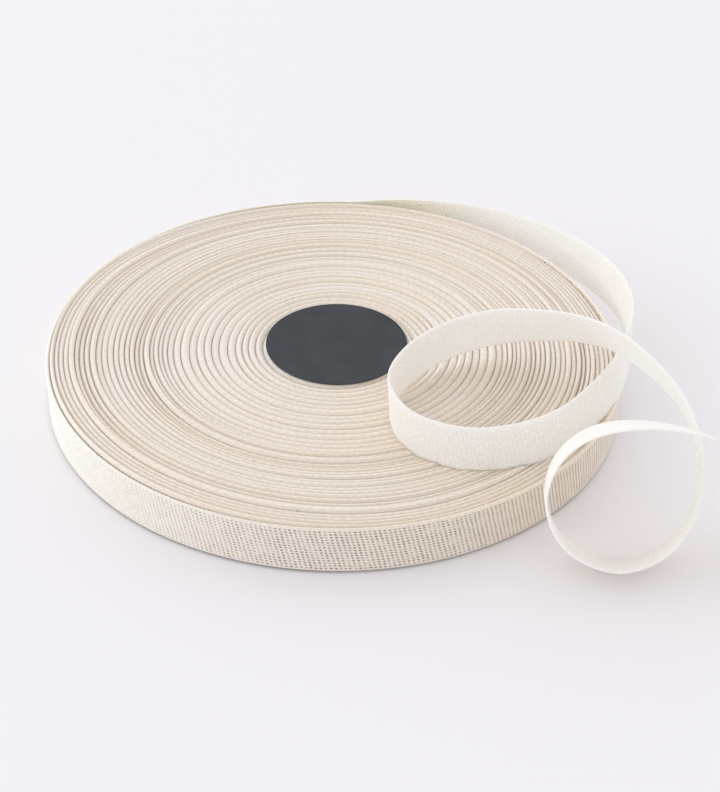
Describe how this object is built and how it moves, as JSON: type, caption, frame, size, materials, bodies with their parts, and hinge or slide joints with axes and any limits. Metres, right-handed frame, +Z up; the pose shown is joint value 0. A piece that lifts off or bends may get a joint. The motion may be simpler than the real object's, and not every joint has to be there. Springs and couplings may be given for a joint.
{
  "type": "roll of cotton ribbon",
  "caption": "Flat roll of narrow woven cotton ribbon with a bare round label on its middle and a loose end that curls on the roll and on the table.",
  "frame": {"origin": "middle of the roll's underside, on the surface that the roll lies on", "axes": "+Z up along the roll's winding axis, +X to the right towards the loose end, -Y towards the viewer"},
  "size_m": [0.1592, 0.1227, 0.0326],
  "materials": {
    "natural_cotton": "undyed plain weave, matt",
    "slate_paper": "uncoated dark slate paper, matt"
  },
  "bodies": {
    "root": {"ribbon_roll": "natural_cotton", "ribbon_tail": "natural_cotton", "round_label": "slate_paper"}
  },
  "joints": []
}
